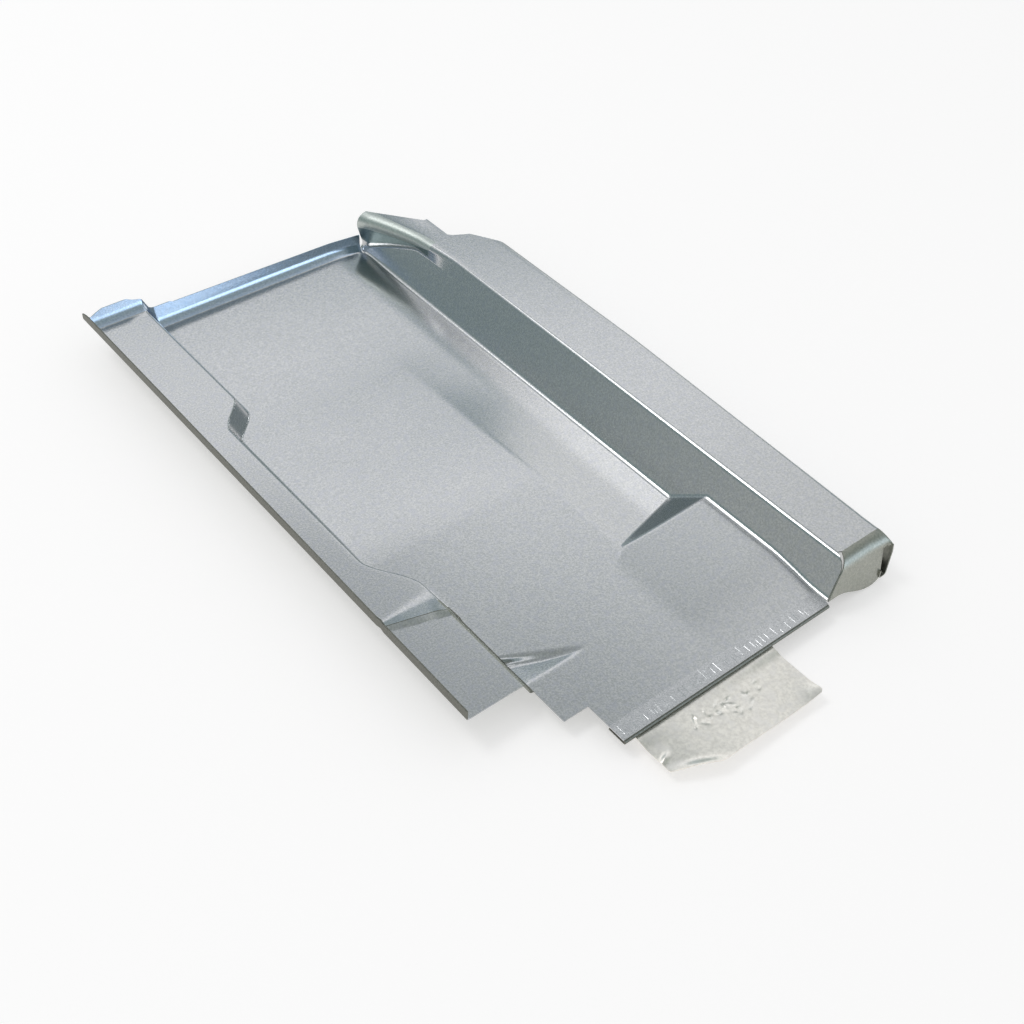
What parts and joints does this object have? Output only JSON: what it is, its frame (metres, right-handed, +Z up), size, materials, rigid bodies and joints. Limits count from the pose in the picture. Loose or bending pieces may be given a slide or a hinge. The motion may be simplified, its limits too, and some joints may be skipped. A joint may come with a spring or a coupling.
{
  "type": "pressed metal roof plate",
  "caption": "Pressed galvanised steel roof plate, shaped like one interlocking roof tile, with side lip, cover rib, end upstand and a soft aluminium apron in its front hem.",
  "frame": {"origin": "on the level surface that the plate lies on, under the middle of its bounding box", "axes": "+Z up, +Y up the roof from the eaves end with the apron to the ridge end with the upstand, +X from the side lip to the cover rib"},
  "size_m": [0.26, 0.4754, 0.0308],
  "materials": {
    "galvanised_steel": "matt galvanised sheet with a fine mottled grain, brighter along its pressed bends",
    "apron_aluminium": "soft rolled aluminium sheet with small dents"
  },
  "bodies": {
    "root": {"roof_plate": "galvanised_steel", "apron": "apron_aluminium"}
  },
  "joints": []
}
